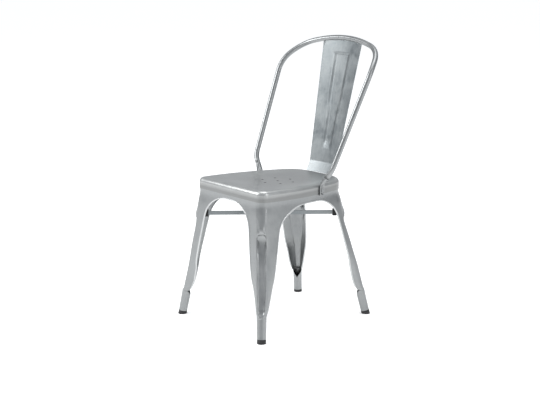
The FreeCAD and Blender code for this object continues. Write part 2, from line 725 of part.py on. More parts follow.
def rivet_holes():
    radius = size("rivet_shank_radius") + size("rivet_clearance")
    reach = 4.0 * size("hoop_flat_thickness")
    holes = []
    for place in rivet_places():
        holes.append(Part.makeCylinder(radius, 2.0 * reach, place - HOOP_FOOT.out * reach, HOOP_FOOT.out))
    return holes


def rivet():
    """One rivet about +Z, its outer head's seat at the height of the hoop's pocket floor."""
    seat = size("weld_clearance") + size("hoop_flat_thickness") - size("hoop_pocket_depth")
    inner = -(NEST + THICK + size("weld_clearance"))
    height = size("rivet_head_height")
    shank = Part.makeCylinder(size("rivet_shank_radius"), seat - inner, Vector(0, 0, inner))
    head = Part.makeCylinder(size("rivet_radius"), height, Vector(0, 0, seat))
    crown = [edge for edge in head.Edges if edge.CenterOfMass.z > seat + height * 0.9]
    head = head.makeFillet(height * 0.7, crown)
    tail = Part.makeCylinder(size("rivet_radius"), height / 2.0, Vector(0, 0, inner - height / 2.0))
    return shank.fuse([head, tail]).removeSplitter()


def rivet_pair():
    """Two rivets through hoop end, skirt and leg."""
    rivets = []
    for place in rivet_places():
        item = rivet()
        item.Placement = Placement(place, Rotation(UP, HOOP_FOOT.out))
        rivets.append(item)
    return Part.makeCompound(rivets)


def back_hoop():
    tube = hoop_tube(size("hoop_radius")).cut(hoop_tube(size("hoop_radius") - size("hoop_wall")))
    end = hoop_flat_end().cut([hoop_pocket()] + rivet_holes())
    return tube.fuse([end, mirrored(end)])


# Splat: horizontal sections of one bowed sheet, kicked forward at its foot.
SPLAT_STEPS = 20


def splat_middle_y(z):
    crease = size("splat_crease_z")
    if z >= crease:
        return size("splat_crease_y") + size("splat_recline") * (z - crease)
    foot = splat_foot_z()
    return mix(size("splat_foot_y"), size("splat_crease_y"), (z - foot) / (crease - foot))


def splat_foot_z():
    rim = SEAT_PLACE.multVec(Vector(0, size("splat_foot_y"), size("skirt_height")))
    return rim.z + size("weld_clearance")


def splat_width(z):
    crease = size("splat_crease_z")
    if z >= crease:
        share = (z - crease) / (size("hoop_crown_z") - crease)
        return mix(size("splat_crease_width"), size("splat_top_width"), share)
    share = (z - splat_foot_z()) / (crease - splat_foot_z())
    return mix(size("splat_foot_width"), size("splat_crease_width"), share)


def splat_press(x, z):
    """Depth of the pressed panel at a point of the splat."""
    share = (z - size("recess_foot_z")) / (size("recess_top_z") - size("recess_foot_z"))
    half = mix(size("recess_foot_width"), size("recess_top_width"), min(max(share, 0.0), 1.0)) / 2.0
    wall = 2.0 * size("recess_depth")
    across = smooth((half - abs(x)) / wall + 0.5)
    upper = smooth((size("recess_top_z") - z) / wall + 0.5)
    lower = smooth((z - size("recess_foot_z")) / (4.0 * wall) + 0.5)
    return size("recess_depth") * across * upper * lower


def splat_section(z):
    half = splat_width(z) / 2.0
    slope = splat_middle_y(z + 1.0) - splat_middle_y(z)
    depth = THICK * math.sqrt(1.0 + slope ** 2)
    sides = []
    for back in (0.0, depth):
        points = []
        for index in range(SPLAT_STEPS + 1):
            x = mix(-half, half, index / SPLAT_STEPS)
            bow = size("splat_bow_radius") - math.sqrt(size("splat_bow_radius") ** 2 - x ** 2)
            points.append(Vector(x, splat_middle_y(z) - bow + splat_press(x, z) + back - depth / 2.0, z))
        curve = Part.BSplineCurve()
        curve.interpolate(points)
        sides.append((curve.toShape(), points))
    (front, front_points), (rear, rear_points) = sides
    left = Part.makeLine(front_points[-1], rear_points[-1])
    right = Part.makeLine(rear_points[0], front_points[0])
    return Part.Wire([front, left, rear, right])


def splat_levels():
    foot = splat_foot_z()
    crease = size("splat_crease_z")
    bend = 2.0 * THICK
    levels = [foot, mix(foot, crease, 0.5), crease - bend, crease, crease + bend]
    low = size("recess_foot_z")
    high = size("recess_top_z")
    edge = 2.0 * size("recess_depth")
    levels += [mix(crease + bend, low - 2.0 * edge, 0.5)]
    levels += [low + step * edge for step in (-2.0, 0.0, 2.0)]
    levels += [mix(low + 2.0 * edge, high - edge, share) for share in (0.25, 0.5, 0.75)]
    levels += [high + step * edge for step in (-1.0, -0.5, 0.0, 0.5, 1.0)]
    levels += [mix(high + edge, size("hoop_crown_z"), share) for share in (0.5, 1.0)]
    return levels


def back_splat():
    sheet_shape = Part.makeLoft([splat_section(z) for z in splat_levels()], True, True)
    below_rail = sheet_shape.cut(hoop_tube(size("hoop_radius") + size("weld_clearance")))
    return min(below_rail.Solids, key=lambda solid: solid.CenterOfMass.z)


# Small pieces: sketched bodies whose dimensions follow the sheet.
def origin_plane(body, role):
    return next(feature for feature in body.Origin.OriginFeatures if feature.Role == role)


def new_sketch(body, role, name, corners):
    """Closed outline of straight lines; each corner is a pair of formulas on the sizes."""
    sketch = body.newObject("Sketcher::SketchObject", name)
    sketch.AttachmentSupport = [(origin_plane(body, role), "")]
    sketch.MapMode = "FlatFace"
    places = []
    for formulas in corners:
        places.append(Vector(*[float(sketch.evalExpression(formula)) for formula in formulas], 0))
    count = len(corners)
    for index in range(count):
        line = Part.LineSegment(places[index], places[(index + 1) % count])
        sketch.addGeometry(line, False)
    for index in range(count):
        following = (index + 1) % count
        sketch.addConstraint(Sketcher.Constraint("Coincident", index, 2, following, 1))
        for kind, axis, place, formula in (
            ("DistanceX", -2, places[index].x, corners[index][0]),
            ("DistanceY", -1, places[index].y, corners[index][1]),
        ):
            if formula == "0":
                sketch.addConstraint(Sketcher.Constraint("PointOnObject", index, 1, axis))
                continue
            number = sketch.addConstraint(Sketcher.Constraint(kind, index, 1, place))
            sketch.setExpression(f"Constraints[{number}]", formula)
    return sketch


def new_pad(body, name, sketch, length):
    pad = body.newObject("PartDesign::Pad", name)
    pad.Profile = sketch
    pad.Midplane = True
    pad.setExpression("Length", length)
    return pad


def new_pocket(body, name, sketch, length, midplane, reverse):
    """Pocket that has to take something away."""
    doc.recompute()
    before = body.Shape.Volume
    pocket = body.newObject("PartDesign::Pocket", name)
    pocket.Profile = sketch
    pocket.Midplane = midplane
    pocket.Reversed = reverse
    pocket.setExpression("Length", length)
    doc.recompute()
    if body.Shape.Volume >= before:
        raise ValueError(f"{body.Label}: {name} removes nothing")
    return pocket


def new_fillet(body, name, base, edges, radius):
    fillet = body.newObject("PartDesign::Fillet", name)
    fillet.Base = (base, edges)
    fillet.setExpression("Radius", radius)
    doc.recompute()
    return fillet


def edge_names(shape, test):
    return [f"Edge{number}" for number, edge in enumerate(shape.Edges, start=1) if test(edge)]


def add_body(label, placement):
    body = doc.addObject("PartDesign::Body", label)
    body.Label = label
    body.Placement = placement
    return body


def derive(alias, value, note):
    """Keep a value worked out from the sizes in the sheet, where the small pieces read it."""
    row = len(DERIVED) + len(SIZES) + 3
    DERIVED.append(alias)
    sheet.set(f"A{row}", note)
    sheet.set(f"B{row}", str(value))
    sheet.setAlias(f"B{row}", alias)


DERIVED = []
FRONT_FORM = LegForm(True)
REAR_FORM = LegForm(False)


def inner_corner(form, z):
    """Middle of the leg's corner, on the inner face of its sheet."""
    point = form.outer_point(z, 1, 0.0)
    return point + form.inward * (THICK + size("weld_clearance"))


def brace_frame():
    """Crossing point, direction and end distances of the bar that runs to the front left leg."""
    ends = {}
    for name, form in (("front", FRONT_FORM), ("rear", REAR_FORM)):
        for level, shift in (("top", 0.5), ("low", -0.5)):
            point = inner_corner(form, size("brace_z") + shift * size("brace_height"))
            if name == "rear":
                point.x = -point.x
            ends[name, level] = point
    front = (ends["front", "top"] + ends["front", "low"]) * 0.5
    rear = (ends["rear", "top"] + ends["rear", "low"]) * 0.5
    direction = (front - rear).normalize()
    crossing = front - direction * (front.x / direction.x)
    for (name, level), point in ends.items():
        distance = (point - crossing).dot(direction)
        derive(f"brace_{name}_{level}", distance, f"brace end from the crossing, {name} {level}")
    derive("brace_turn", 2.0 * math.degrees(math.atan2(direction.y, direction.x)) + 180.0, "angle between the bars")
    doc.recompute()
    return crossing, direction


def brace_bars(crossing, direction):
    top = "Sizes.brace_height / 2"
    low = "-Sizes.brace_height / 2"
    for label, sign in (("brace_bar_left", 1.0), ("brace_bar_right", -1.0)):
        heading = math.degrees(math.atan2(direction.y, direction.x * sign))
        body = add_body(label, Placement(crossing, Rotation(UP, heading)))
        outline = [
            ("Sizes.brace_rear_low", low),
            ("Sizes.brace_front_low", low),
            ("Sizes.brace_front_top", top),
            ("Sizes.brace_rear_top", top),
        ]
        sketch = new_sketch(body, "XZ_Plane", f"{label}_side", outline)
        new_pad(body, f"{label}_bar", sketch, "Sizes.brace_thickness")
        half = "(Sizes.brace_thickness / 2 + Sizes.weld_clearance)"
        sine = f"({sign} * sin(Sizes.brace_turn * 1 deg))"
        cosine = "cos(Sizes.brace_turn * 1 deg)"
        reach = "Sizes.brace_thickness"
        slot = []
        for side, edge in ((1, -1), (1, 1), (-1, 1), (-1, -1)):
            slot.append((f"({side} * {reach} * {cosine} + {edge} * {half}) / {sine}", f"{side} * {reach}"))
        lap = new_sketch(body, "XY_Plane", f"{label}_lap_outline", slot)
        new_pocket(body, f"{label}_lap", lap, "Sizes.brace_height", False, sign > 0)


def bumpers(crossing, direction):
    front = size("brace_front_low") - size("bumper_inset")
    rear = size("brace_rear_low") + size("bumper_inset")
    for end, along in (("front", front), ("rear", rear)):
        for hand, sign in (("left", 1.0), ("right", -1.0)):
            turn = sign if end == "front" else -sign
            heading = Vector(direction.x * turn, direction.y, 0)
            place = crossing + heading * along
            angle = math.degrees(math.atan2(heading.y, heading.x))
            bumper(f"{end}_{hand}_bumper", Placement(place, Rotation(UP, angle)))


def bumper(label, placement):
    """Saddle that hangs on the bar: a rounded block with a slot for it."""
    body = add_body(label, placement)
    low = "-Sizes.brace_height / 2 - Sizes.bumper_drop"
    high = "Sizes.bumper_height - Sizes.brace_height / 2 - Sizes.bumper_drop"
    half = "Sizes.bumper_width / 2"
    block = [(f"-{half}", low), (half, low), (half, high), (f"-{half}", high)]
    sketch = new_sketch(body, "YZ_Plane", f"{label}_outline", block)
    pad = new_pad(body, f"{label}_block", sketch, "Sizes.bumper_length")
    doc.recompute()
    upright = edge_names(pad.Shape, lambda edge: edge.BoundBox.ZLength > size("bumper_height") - 0.01)
    fillet = new_fillet(body, f"{label}_rounding", pad, upright, "Sizes.bumper_width / 5")
    body.Tip = fillet
    gap = "(Sizes.brace_thickness / 2 + Sizes.bumper_clearance)"
    floor = "-Sizes.brace_height / 2 - Sizes.bumper_clearance"
    slot = [(f"-{gap}", floor), (gap, floor), (gap, "Sizes.bumper_height"), (f"-{gap}", "Sizes.bumper_height")]
    cut = new_sketch(body, "YZ_Plane", f"{label}_slot_outline", slot)
    new_pocket(body, f"{label}_slot", cut, "2 * Sizes.bumper_length", True, False)


def foot_cap(label, form, sign):
    """Plug with a visible rim; turned about the leg's axis and cut level with the floor."""
    axis = form.axis()
    axis = Vector(axis.x * sign, axis.y, axis.z)
    foot = Vector(form.foot.x * sign, form.foot.y, 0)
    inward = Vector(axis.x, axis.y, 0).normalize()
    lean = math.degrees(math.atan2(math.hypot(axis.x, axis.y), axis.z))
    lean_name = f"{label}_lean"
    derive(lean_name, lean, "lean of the leg at this foot, degrees")
    doc.recompute()
    across = UP.cross(inward)
    body = add_body(label, Placement(foot, Rotation(across.cross(axis), across, axis, "ZXY")))
    rim = "Sizes.tube_foot_radius"
    stem = "Sizes.tube_foot_radius - Sizes.sheet_thickness - Sizes.cap_clearance"
    deep = "-Sizes.tube_foot_radius / 2"
    shoulder = "Sizes.cap_height"
    tip = "Sizes.cap_height + Sizes.cap_stem_length"
    profile = [("0", deep), (rim, deep), (rim, shoulder), (stem, shoulder), (stem, tip), ("0", tip)]
    sketch = new_sketch(body, "XZ_Plane", f"{label}_profile", profile)
    plug = body.newObject("PartDesign::Revolution", f"{label}_plug")
    plug.Profile = sketch
    plug.ReferenceAxis = (sketch, ["V_Axis"])
    plug.Angle = 360.0
    doc.recompute()
    slant = f"2 * {rim} * tan(Sizes.{lean_name} * 1 deg)"
    floor = [(f"-2 * {rim}", f"-{slant}"), (f"-2 * {rim}", f"-4 * {rim}"), (f"2 * {rim}", f"-4 * {rim}"), (f"2 * {rim}", slant)]
    below = new_sketch(body, "XZ_Plane", f"{label}_floor_outline", floor)
    new_pocket(body, f"{label}_floor", below, f"4 * {rim}", True, False)


def build():
    holes = rivet_holes()
    for hole in rivet_holes():
        holes.append(mirrored(hole))
    for hole in holes:
        hole.Placement = SEAT_PLACE.inverse().multiply(hole.Placement)
    pan = add_feature("seat_pan", seat_pan().cut(holes))
    pan.Placement = SEAT_PLACE
    for end in ("front", "rear"):
        leg = leg_shape(end == "front")
        if end == "rear":
            leg = leg.cut(rivet_holes())
        add_feature(f"{end}_left_leg", leg)
        add_feature(f"{end}_right_leg", mirrored(leg))
    add_feature("back_hoop", back_hoop())
    add_feature("back_splat", back_splat())
    rivets = rivet_pair()
    add_feature("left_hoop_rivets", rivets)
    add_feature("right_hoop_rivets", mirrored(rivets))
    for end, form in (("front", FRONT_FORM), ("rear", REAR_FORM)):
        foot_cap(f"{end}_left_foot_cap", form, 1.0)
        foot_cap(f"{end}_right_foot_cap", form, -1.0)


build()
brace_place = brace_frame()
brace_bars(*brace_place)
bumpers(*brace_place)
doc.recompute()
faults = [item.Label for item in doc.Objects if "Invalid" in item.State or "Error" in item.State]
if faults:
    raise ValueError(f"not computed: {faults}")
parts = [item for item in doc.Objects if item.TypeId in ("Part::Feature", "PartDesign::Body")]
for item in parts:
    if item.Shape.isNull() or not item.Shape.isValid():
        raise ValueError(f"{item.Label} is no valid solid")
os.makedirs("parts", exist_ok=True)
for item in parts:
    shape = item.Shape
    print(item.Label, len(shape.Solids), round(shape.Volume), shape.BoundBox)
    shape.exportStep(f"parts/{item.Label}.step")
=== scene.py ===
import math

import bmesh
import bpy
from bpy.props import FloatProperty, FloatVectorProperty, IntProperty, PointerProperty
from mathutils import Matrix, Vector


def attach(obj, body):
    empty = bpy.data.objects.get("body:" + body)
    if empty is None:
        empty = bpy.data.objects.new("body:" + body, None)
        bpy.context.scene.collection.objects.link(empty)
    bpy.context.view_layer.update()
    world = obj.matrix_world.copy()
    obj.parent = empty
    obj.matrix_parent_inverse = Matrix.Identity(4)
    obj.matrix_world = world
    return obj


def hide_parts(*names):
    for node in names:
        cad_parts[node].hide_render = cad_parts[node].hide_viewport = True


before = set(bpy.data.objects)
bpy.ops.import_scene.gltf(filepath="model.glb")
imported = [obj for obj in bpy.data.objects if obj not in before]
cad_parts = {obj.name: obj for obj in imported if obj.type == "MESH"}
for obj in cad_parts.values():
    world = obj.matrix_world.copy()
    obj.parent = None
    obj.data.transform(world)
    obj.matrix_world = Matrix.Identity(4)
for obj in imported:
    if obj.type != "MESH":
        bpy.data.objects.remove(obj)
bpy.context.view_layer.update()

bl_info = {
    "name": "Pressed steel side chair",
    "version": (1, 0, 0),
    "blender": (4, 5, 0),
    "location": "3D View > Sidebar > Chair",
    "description": "Dresses the packed frame of a stackable side chair in galvanised steel",
    "category": "Add Mesh",
}

MM = 0.001
BODY = "root"
SHARP_ANGLE = math.radians(60.0)
SAMPLE_STEP = 4.0 * MM
CORNER_DEPTH = 9.0 * MM
SEAM_GAP = 2.0 * MM
BIN_TURN = math.radians(2.0)
ARCH_EYE = 200.0 * MM
# Painted shade on the seat: the drain holes darkened, and the skirt at half tone fading to full at the
# rim
DRAIN_CENTRE_Y = -21.3 * MM
DRAIN_RING = 49.5 * MM
DRAIN_REACH = 4.6 * MM
DRAIN_PITCH = math.radians(60.0)
DRAIN_PAINTED_SHADE = 0.12
DRAIN_FADE_START = 0.8
SKIRT_FOOT = 411.0 * MM
SKIRT_HEAD = 427.0 * MM
MERGE_GAP = 0.02 * MM
THIN_EDGE = 0.01 * MM
SHEET_CREASE = 32.0
SPLAT_CREASE = 24.0
TUBE_CREASE = 40.0
CLOUD_SCALE = 14.0
FLAKE_SCALE = 70.0
DRAWN_SCALE = 4.0
DRAWN_STRETCH = (40.0, 40.0, 6.0)
ZINC_GRAIN_SCALE = 900.0
MOULD_GRAIN_SCALE = 1400.0
SCUFF_SCALE = 60.0
HAZE_SCALE = 0.6
BLACK = (0.0, 0.0, 0.0, 1.0)
LAMP_TARGET = (0.0, 0.0, 0.45)
VIEW_LIMIT = 200.0
LEGS = [f"{end}_{hand}_leg" for end in ("front", "rear") for hand in ("left", "right")]
CAPS = [f"{end}_{hand}_foot_cap" for end in ("front", "rear") for hand in ("left", "right")]
BUMPERS = [f"{end}_{hand}_bumper" for end in ("front", "rear") for hand in ("left", "right")]
BRACES = ["brace_bar_left", "brace_bar_right"]
RIVETS = ["left_hoop_rivets", "right_hoop_rivets"]

# Each lamp: name, place, width, height and power in watts
LAMPS = (
    ("key", (-2.6, -3.4, 3.2), 2.2, 2.2, 120.0),
    ("side", (3.6, 0.6, 1.8), 1.2, 2.6, 25.0),
    ("top", (0.0, 0.4, 4.2), 3.0, 3.0, 60.0),
)

# The room from below the horizon to overhead: share of the height, then colour
SKY_STOPS = (
    (0.0, (0.75, 0.76, 0.77, 1.0)),
    (0.44, (0.62, 0.64, 0.66, 1.0)),
    (0.50, (0.30, 0.31, 0.33, 1.0)),
    (0.56, (0.85, 0.87, 0.90, 1.0)),
    (0.72, (0.70, 0.72, 0.75, 1.0)),
    (1.0, (0.95, 0.97, 1.0, 1.0)),
)


class Sock:
    """A node socket, or a plain number, that adds Math nodes when it is reckoned with."""

    def __init__(self, tree, value):
        self.tree = tree
        self.value = value

    def node(self, kind, settings=None, inputs=None, output=0):
        """Add a node of the given type, set it up, feed it and give one of its outputs."""
        node = self.tree.nodes.new(kind)
        for name, value in (settings or {}).items():
            if name == "stops":
                fill_ramp(node.color_ramp, value)
            else:
                setattr(node, name, value)
        for name, value in (inputs or {}).items():
            socket = node.inputs[name]
            if isinstance(value, Sock):
                value = value.value
            if isinstance(value, bpy.types.NodeSocket):
                self.tree.links.new(value, socket)
            else:
                socket.default_value = value
        return Sock(self.tree, node.outputs[output])

    def maths(self, operation, *others):
        """Math node of the given operation on this value and the others."""
        inputs = {index: other for index, other in enumerate((self,) + others)}
        return self.node("ShaderNodeMath", {"operation": operation}, inputs)

    def __add__(self, other):
        return self.maths("ADD", other)

    def __mul__(self, other):
        return self.maths("MULTIPLY", other)

    def __sub__(self, other):
        return self.maths("SUBTRACT", other)

    def __truediv__(self, other):
        return self.maths("DIVIDE", other)

    def clamp(self):
        """Hold the value between 0 and 1."""
        return self.node("ShaderNodeClamp", {}, {"Value": self})

    def spread(self, low, high, to_low=0.0, to_high=1.0):
        """Stretch the range low to high onto another range, clamped."""
        inputs = {"Value": self, "From Min": low, "From Max": high, "To Min": to_low, "To Max": to_high}
        return self.node("ShaderNodeMapRange", {"clamp": True}, inputs)

    def blend(self, first, second):
        """Colour between two colours, by this factor."""
        settings = {"data_type": "RGBA", "blend_type": "MIX"}
        return self.node("ShaderNodeMix", settings, {0: self, 6: first, 7: second}, 2)


def fill_ramp(ramp, stops):
    """Give a colour ramp these stops and no others."""
    while len(ramp.elements) > 1:
        ramp.elements.remove(ramp.elements[-1])
    ramp.elements[0].position = stops[0][0]
    ramp.elements[0].color = stops[0][1]
    for position, colour in stops[1:]:
        ramp.elements.new(position).color = colour


def rgba(colour):
    """Opaque colour with its fourth channel."""
    return (colour[0], colour[1], colour[2], 1.0)


def new_material(name):
    """Material with a Principled shader; gives both and a Sock to start from."""
    material = bpy.data.materials.new(name)
    material.use_nodes = True
    shader = material.node_tree.nodes["Principled BSDF"]
    return material, shader, Sock(material.node_tree, 0.0)


def feed(sock, shader, name):
    """Link a socket to one of the shader's inputs."""
    sock.tree.links.new(sock.value, shader.inputs[name])


def object_place(sock):
    """Place on the object itself, which the patterns follow."""
    return sock.node("ShaderNodeTexCoord", {}, {}, "Object")


def noise(sock, place, scale, detail, roughness):
    """Cloudy pattern at a place."""
    inputs = {"Vector": place, "Scale": scale, "Detail": detail, "Roughness": roughness}
    return sock.node("ShaderNodeTexNoise", {}, inputs)


def stretched(sock, place, scale):
    """The place with each direction scaled by itself."""
    return sock.node("ShaderNodeMapping", {}, {"Vector": place, "Scale": scale})


def seat_painted_shade(start, place):
    """Painted shade for the seat: 1 on its top, less on its skirt and in the drain holes."""
    across = start.node("ShaderNodeSeparateXYZ", {}, {"Vector": place}, "X")
    parts = across.value.node.outputs
    along = Sock(start.tree, parts["Y"]) - DRAIN_CENTRE_Y
    height = Sock(start.tree, parts["Z"])
    reach = (across * across + along * along).maths("SQRT")
    turn = along.maths("ARCTAN2", across) - DRAIN_PITCH / 2.0
    nearest = (turn / DRAIN_PITCH).maths("ROUND") * DRAIN_PITCH
    apart = (turn - nearest).maths("COSINE") * reach * (2.0 * DRAIN_RING)
    ring = (reach * reach + DRAIN_RING ** 2 - apart).maths("ABSOLUTE").maths("SQRT")
    nearest_hole = reach.maths("MINIMUM", ring)
    # Painted shade in the drain holes: dark inside, fading out at DRAIN_REACH
    hole = nearest_hole.spread(DRAIN_REACH * DRAIN_FADE_START, DRAIN_REACH, DRAIN_PAINTED_SHADE, 1.0)
    # Painted shade on the skirt: half tone below SKIRT_FOOT, full tone from SKIRT_HEAD up
    return height.spread(SKIRT_FOOT, SKIRT_HEAD, 0.5, 1.0) * hole


def zinc_steel(name, light, dark, shine, mottle, seat=False):
    """Galvanised sheet under a clear coat: cloudy spangle and faint drawing marks; the rolled edges'
    lighter tones, passed in, are a painted highlight.
    """
    material, shader, start = new_material(name)
    place = object_place(start)
    cloud = noise(start, place, CLOUD_SCALE, detail=4.0, roughness=0.6)
    cells = {"Vector": place, "Scale": FLAKE_SCALE}
    flake = start.node("ShaderNodeTexVoronoi", {"feature": "F1"}, cells, "Color")
    flake = flake.node("ShaderNodeSeparateColor", {}, {"Color": flake}, "Red")
    pulled = stretched(start, place, DRAWN_STRETCH)
    drawn = noise(start, pulled, DRAWN_SCALE, detail=5.0, roughness=0.65)
    grain = noise(start, place, ZINC_GRAIN_SCALE, detail=2.0, roughness=0.5)
    tone = (cloud.spread(0.35, 0.65) * 0.5 + flake * 0.2 + drawn.spread(0.3, 0.7) * 0.3) * mottle
    tone = tone + (1.0 - mottle) * 0.5
    colour = tone.clamp().blend(rgba(dark), rgba(light))
    # Seat only: painted shade darkens the skirt and the drain holes
    if seat:
        colour = seat_painted_shade(start, place).blend(BLACK, colour)
    feed(colour, shader, "Base Color")
    rough = drawn.spread(0.3, 0.7, -0.04, 0.05) + cloud.spread(0.3, 0.7, -0.05, 0.06)
    rough = rough + flake.spread(0.0, 1.0, -0.03, 0.03) + shine
    feed(rough.clamp(), shader, "Roughness")
    height = cloud * 0.6 + drawn * 0.3 + grain * 0.1
    relief = {"Strength": 0.06, "Distance": 1.0 * MM, "Height": height}
    bump = start.node("ShaderNodeBump", {}, relief)
    feed(bump, shader, "Normal")
    shader.inputs["Metallic"].default_value = 1.0
    shader.inputs["Coat Weight"].default_value = 0.15
    shader.inputs["Coat Roughness"].default_value = 0.2
    return material


def moulded_plastic(name, colour):
    """Black moulded plastic with a fine grain and scuffs."""
    material, shader, start = new_material(name)
    place = object_place(start)
    grain = noise(start, place, MOULD_GRAIN_SCALE, detail=2.0, roughness=0.6)
    scuff = noise(start, place, SCUFF_SCALE, detail=4.0, roughness=0.7).spread(0.55, 0.75)
    worn = tuple(channel * 2.2 + 0.01 for channel in colour)
    feed(scuff.blend(rgba(colour), rgba(worn)), shader, "Base Color")
    feed(grain.spread(0.3, 0.7, 0.42, 0.58) + scuff * 0.1, shader, "Roughness")
    relief = {"Strength": 0.2, "Distance": 0.3 * MM, "Height": grain}
    feed(start.node("ShaderNodeBump", {}, relief), shader, "Normal")
    return material


def floor_paint(name, colour, glow):
    """Pale matt floor that gives off a little light of its own."""
    material, shader, start = new_material(name)
    place = object_place(start)
    haze = noise(start, place, HAZE_SCALE, detail=2.0, roughness=0.5)
    darker = tuple(channel * 0.99 for channel in colour)
    feed(haze.blend(rgba(colour), rgba(darker)), shader, "Base Color")
    shader.inputs["Roughness"].default_value = 0.8
    shader.inputs["Specular IOR Level"].default_value = 0.2
    shader.inputs["Emission Color"].default_value = rgba(colour)
    shader.inputs["Emission Strength"].default_value = glow
    return material


def smooth_copy(node, crease_degrees):
    """Merged, smooth-shaded copy of a CAD node, to be shown in its place."""
    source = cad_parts[node]
    mesh = source.data.copy()
    mesh.name = f"{node}_skin"
    work = bmesh.new()
    work.from_mesh(mesh)
    bmesh.ops.remove_doubles(work, verts=work.verts, dist=MERGE_GAP)
    bmesh.ops.dissolve_degenerate(work, edges=work.edges, dist=THIN_EDGE)
    work.to_mesh(mesh)
    work.free()
    for polygon in mesh.polygons:
        polygon.use_smooth = True
    mesh.set_sharp_from_angle(angle=math.radians(crease_degrees))
    piece = bpy.data.objects.new(f"{node}_skin", mesh)
    bpy.context.scene.collection.objects.link(piece)
    return piece


def dress(nodes, material, crease_degrees=SHEET_CREASE):
    """Show each node as a smooth copy in this material."""
    for node in nodes:
        piece = smooth_copy(node, crease_degrees)
        piece.data.materials.clear()
        piece.data.materials.append(material)
        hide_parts(node)
        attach(piece, BODY)


def sharp_samples(mesh, low, high):
    """Points along the mesh's sharp edges between two heights."""
    work = bmesh.new()
    work.from_mesh(mesh)
    bmesh.ops.remove_doubles(work, verts=work.verts, dist=MERGE_GAP)
    points = []
    for edge in work.edges:
        if len(edge.link_faces) != 2 or edge.calc_face_angle() < SHARP_ANGLE:
            continue
        start, end = edge.verts[0].co, edge.verts[1].co
        if not (low < start.z < high and low < end.z < high):
            continue
        count = max(1, math.ceil((end - start).length / SAMPLE_STEP))
        for index in range(count + 1):
            points.append(start.lerp(end, index / count))
    work.free()
    return points


def edge_run(points, axis, centre):
    """One line along the middle of the sheet's edge, from the arch's crown down to the foot."""
    bins = {}
    for point in points:
        if abs(point[axis] - centre[0]) < SEAM_GAP:
            continue
        turn = math.atan2(abs(point[axis] - centre[0]), point.z - centre[1])
        bins.setdefault(round(turn / BIN_TURN), []).append(point)
    run = []
    for key in sorted(bins):
        group = bins[key]
        run.append(sum(group, Vector()) / len(group))
    start = run[0].copy()
    start[axis] = centre[0]
    smooth_run = [start, run[0]]
    for before, point, after in zip(run, run[1:], run[2:]):
        smooth_run.append((before + point * 2.0 + after) / 4.0)
    return smooth_run + [run[-1]]


def leg_edge_runs(node, seam, low, high):
    """The two free edges of a leg: towards the middle plane, and towards its neighbour."""
    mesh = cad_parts[node].data
    top = [vertex.co for vertex in mesh.vertices if vertex.co.z > high]
    foot = [vertex.co for vertex in mesh.vertices if vertex.co.z < low / 2.0]
    foot = sum(foot, Vector()) / len(foot)
    across = Vector((math.copysign(1.0, foot.x), -math.copysign(1.0, foot.y), 0.0))
    out = Vector((math.copysign(1.0, foot.x), math.copysign(1.0, foot.y), 0.0))
    corner = max(top, key=lambda point: point.dot(out))
    wings = ([], [])
    for point in sharp_samples(mesh, low, high):
        middle = foot.lerp(corner, (point.z - foot.z) / (corner.z - foot.z))
        if (middle - point).dot(out.normalized()) < CORNER_DEPTH:
            continue
        wings[0 if (point - middle).dot(across) < 0.0 else 1].append(point)
    return [edge_run(wings[0], 0, (0.0, ARCH_EYE)), edge_run(wings[1], 1, (seam, ARCH_EYE))]


def add_runs(name, runs):
    """Object whose mesh holds open lines through the runs' points."""
    points = []
    lines = []
    for run in runs:
        first = len(points)
        points.extend(run)
        lines.extend((first + index, first + index + 1) for index in range(len(run) - 1))
    mesh = bpy.data.meshes.new(name)
    mesh.from_pydata(points, lines, [])
    item = bpy.data.objects.new(name, mesh)
    bpy.context.scene.collection.objects.link(item)
    return item


def new_input(tree, name, kind, default=None):
    """Add an input to a node tree, with its default where it has one."""
    socket = tree.interface.new_socket(name, in_out="INPUT", socket_type=kind)
    if default is not None:
        socket.default_value = default


def rolled_edge_tree(name):
    """Geometry nodes that sweep a ring along lines: a rolled sheet edge."""
    tree = bpy.data.node_groups.new(name, "GeometryNodeTree")
    tree.interface.new_socket("Geometry", in_out="OUTPUT", socket_type="NodeSocketGeometry")
    new_input(tree, "Geometry", "NodeSocketGeometry")
    new_input(tree, "Radius", "NodeSocketFloat", 0.002)
    new_input(tree, "Step", "NodeSocketFloat", 0.004)
    new_input(tree, "Ring Points", "NodeSocketInt", 12)
    new_input(tree, "Material", "NodeSocketMaterial")
    add = tree.nodes.new
    link = tree.links.new
    source = add("NodeGroupInput")
    curve = add("GeometryNodeMeshToCurve")
    link(source.outputs["Geometry"], curve.inputs["Mesh"])
    spline = add("GeometryNodeCurveSplineType")
    spline.spline_type = "CATMULL_ROM"
    link(curve.outputs["Curve"], spline.inputs["Curve"])
    even = add("GeometryNodeResampleCurve")
    even.mode = "LENGTH"
    link(spline.outputs["Curve"], even.inputs["Curve"])
    link(source.outputs["Step"], even.inputs["Length"])
    ring = add("GeometryNodeCurvePrimitiveCircle")
    link(source.outputs["Ring Points"], ring.inputs["Resolution"])
    link(source.outputs["Radius"], ring.inputs["Radius"])
    sweep = add("GeometryNodeCurveToMesh")
    sweep.inputs["Fill Caps"].default_value = True
    link(even.outputs["Curve"], sweep.inputs["Curve"])
    link(ring.outputs["Curve"], sweep.inputs["Profile Curve"])
    shade = add("GeometryNodeSetShadeSmooth")
    link(sweep.outputs["Mesh"], shade.inputs["Geometry"])
    real = add("GeometryNodeRealizeInstances")
    link(shade.outputs["Geometry"], real.inputs["Geometry"])
    paint = add("GeometryNodeSetMaterial")
    link(real.outputs["Geometry"], paint.inputs["Geometry"])
    link(source.outputs["Material"], paint.inputs["Material"])
    result = add("NodeGroupOutput")
    link(paint.outputs["Geometry"], result.inputs["Geometry"])
    return tree


